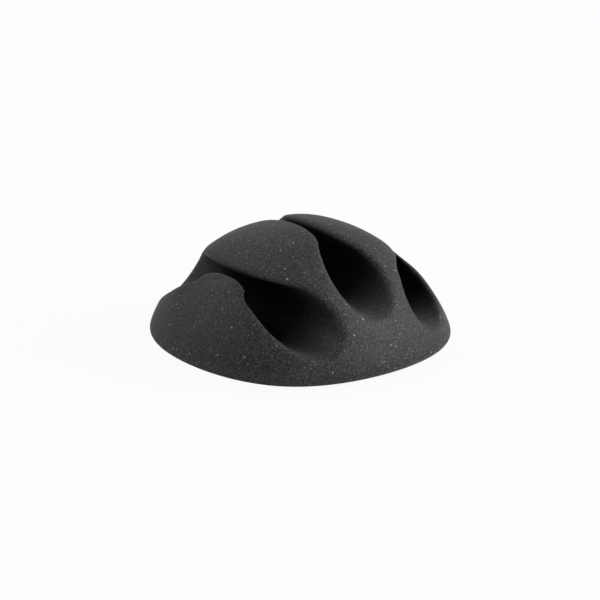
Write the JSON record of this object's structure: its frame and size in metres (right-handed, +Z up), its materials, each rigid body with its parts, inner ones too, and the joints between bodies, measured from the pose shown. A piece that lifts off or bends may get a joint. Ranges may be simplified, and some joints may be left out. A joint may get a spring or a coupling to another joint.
{
  "type": "adhesive cable clip",
  "caption": "Domed soft clip that sticks to a desk and holds cables in round channels, pressed in through slits in its top.",
  "frame": {"origin": "middle of the underside, on the surface that the clip stands on", "axes": "+Z up out of that surface, +Y along the channels, +X across them"},
  "size_m": [0.0436, 0.0442, 0.0194],
  "materials": {
    "body": "matt, finely grained charcoal rubber",
    "pad": "black closed-cell foam tape",
    "liner": "smooth pale release film"
  },
  "bodies": {
    "root": {"clip_body": "body", "adhesive_pad": "pad", "release_liner": "liner"}
  },
  "joints": []
}
